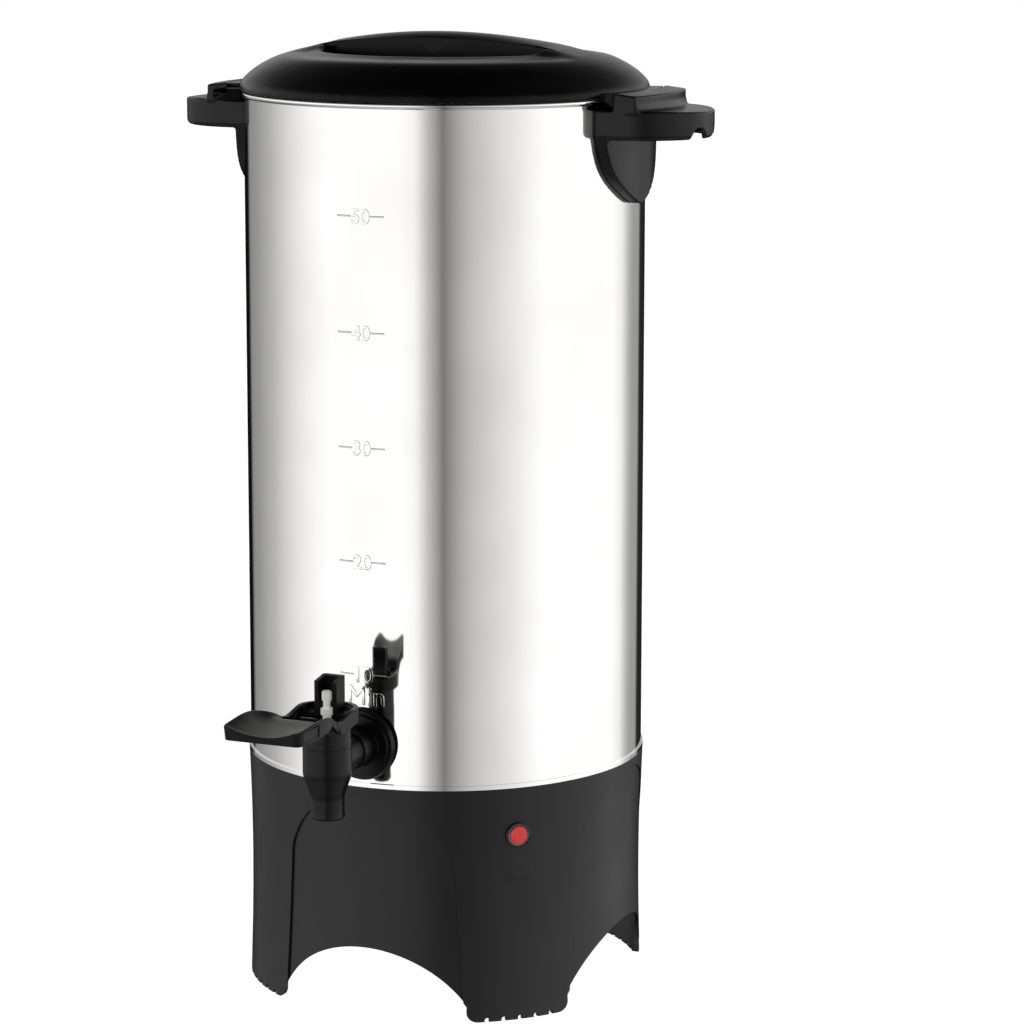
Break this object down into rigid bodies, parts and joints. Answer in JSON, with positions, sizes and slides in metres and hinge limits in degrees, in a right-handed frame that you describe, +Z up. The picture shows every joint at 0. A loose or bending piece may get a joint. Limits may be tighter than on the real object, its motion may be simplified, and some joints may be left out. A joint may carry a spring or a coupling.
{
  "type": "coffee urn",
  "caption": "Tall steel coffee urn on a moulded arched base, with a domed twist-lock lid, two side handles, a self-closing lever tap and a percolator inside.",
  "frame": {"origin": "on the floor under the feet, on the tank's axis", "axes": "+Z up along the tank's axis, the tap faces -Y, the handles lie on +X and -X"},
  "size_m": [0.2668, 0.2962, 0.4563],
  "materials": {
    "steel": "mirror polished outside, satin inside",
    "black_plastic": "satin moulded black",
    "dark_plastic": "moulded nylon",
    "zinc_sheet": "galvanised",
    "zinc_steel": "zinc plated",
    "screw_steel": "stainless",
    "red_lens": "clear red moulding",
    "cast_aluminium": "cast",
    "aluminium": "satin",
    "element_sheath": "heat darkened",
    "phenolic": "moulded phenolic with plated tabs",
    "white_sleeve": "woven glass sleeve",
    "white_plastic": "moulded",
    "brass": "plated brass",
    "silicone": "soft translucent grey",
    "wire_sleeve": "silicone insulated wire"
  },
  "bodies": {
    "urn": {"tank_body": "steel", "tank_floor": "steel", "base_skirt": "black_plastic", "bottom_cover": "zinc_sheet", "floor_studs": "zinc_steel", "cover_nuts": "zinc_steel", "lamp_lens": "red_lens", "lamp_holder": "dark_plastic", "cord_bushing": "dark_plastic", "heater_plate": "cast_aluminium", "boil_element": "element_sheath", "warm_element": "element_sheath", "thermostats": "phenolic", "thermal_fuse": "white_sleeve", "terminal_block": "white_plastic", "terminal_screws": "brass", "handle_right": "black_plastic", "handle_left": "black_plastic", "handle_washers": "silicone", "handle_screws": "screw_steel", "tap_body": "black_plastic", "tap_washer_outer": "silicone", "tap_washer_inner": "silicone", "tap_nut": "dark_plastic", "tap_bonnet": "black_plastic", "lever_pin": "screw_steel", "pump_tube": "aluminium", "pump_foot": "aluminium", "basket": "aluminium", "basket_cover": "aluminium", "wiring": "wire_sleeve"},
    "lid_seal": {"lid_gasket": "silicone"},
    "lid": {"lid_shell": "black_plastic", "lid_liner": "steel", "liner_screws": "zinc_steel"},
    "lever": {"tap_lever": "black_plastic"},
    "valve": {"valve_stem": "white_plastic", "seat_cup": "silicone"}
  },
  "joints": [
    {"name": "lid_lift", "type": "slide", "parent": "urn", "child": "lid_seal", "axis": [0, 0, 1], "range_m": [0, 0.14]},
    {"name": "lid_twist", "type": "hinge", "parent": "lid_seal", "child": "lid", "pos_m": [0, 0, 0.43], "axis": [0, 0, 1], "range_deg": [-14, 0]},
    {"name": "tap_press", "type": "hinge", "parent": "urn", "child": "lever", "pos_m": [0, -0.1474, 0.1534], "axis": [1, 0, 0], "range_deg": [0, 15], "stiffness_Nm_per_rad": 0.5, "springref_deg": -8.59},
    {"name": "stem_lift", "type": "slide", "parent": "urn", "child": "valve", "axis": [0, 0, 1], "range_m": [0, 0.004]}
  ],
  "couplings": [
    {"joint": "stem_lift", "follows": "tap_press", "m_per_rad": 0.0145}
  ]
}
